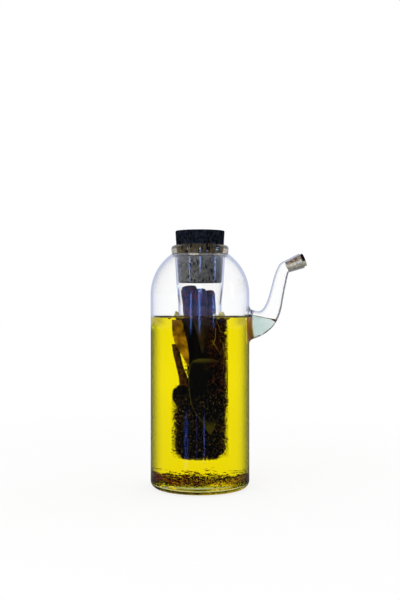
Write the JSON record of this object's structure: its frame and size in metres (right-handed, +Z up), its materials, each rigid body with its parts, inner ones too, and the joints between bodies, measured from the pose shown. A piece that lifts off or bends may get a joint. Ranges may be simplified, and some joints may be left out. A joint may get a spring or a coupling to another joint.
{
  "type": "oil and vinegar bottle",
  "caption": "Round clear glass bottle with a domed shoulder, an inner herb tube, a bent side spout and cork stoppers, filled with yellow oil.",
  "frame": {"origin": "centre of the flat base, on the bottle's axis", "axes": "+Z up the bottle's axis, +X towards the spout, +Y the third axis"},
  "size_m": [0.1188, 0.075, 0.1945],
  "materials": {
    "glass": "polished",
    "oil": "gloss",
    "cork": "matte",
    "chili": "satin",
    "herbs": "matte"
  },
  "bodies": {
    "root": {"glass_bottle": "glass", "cork_large": "cork", "cork_small": "cork", "oil_outer": "oil", "oil_inner": "oil", "herb_bundle": "herbs", "chili_left": "chili", "chili_middle": "chili", "chili_right": "chili"}
  },
  "joints": []
}
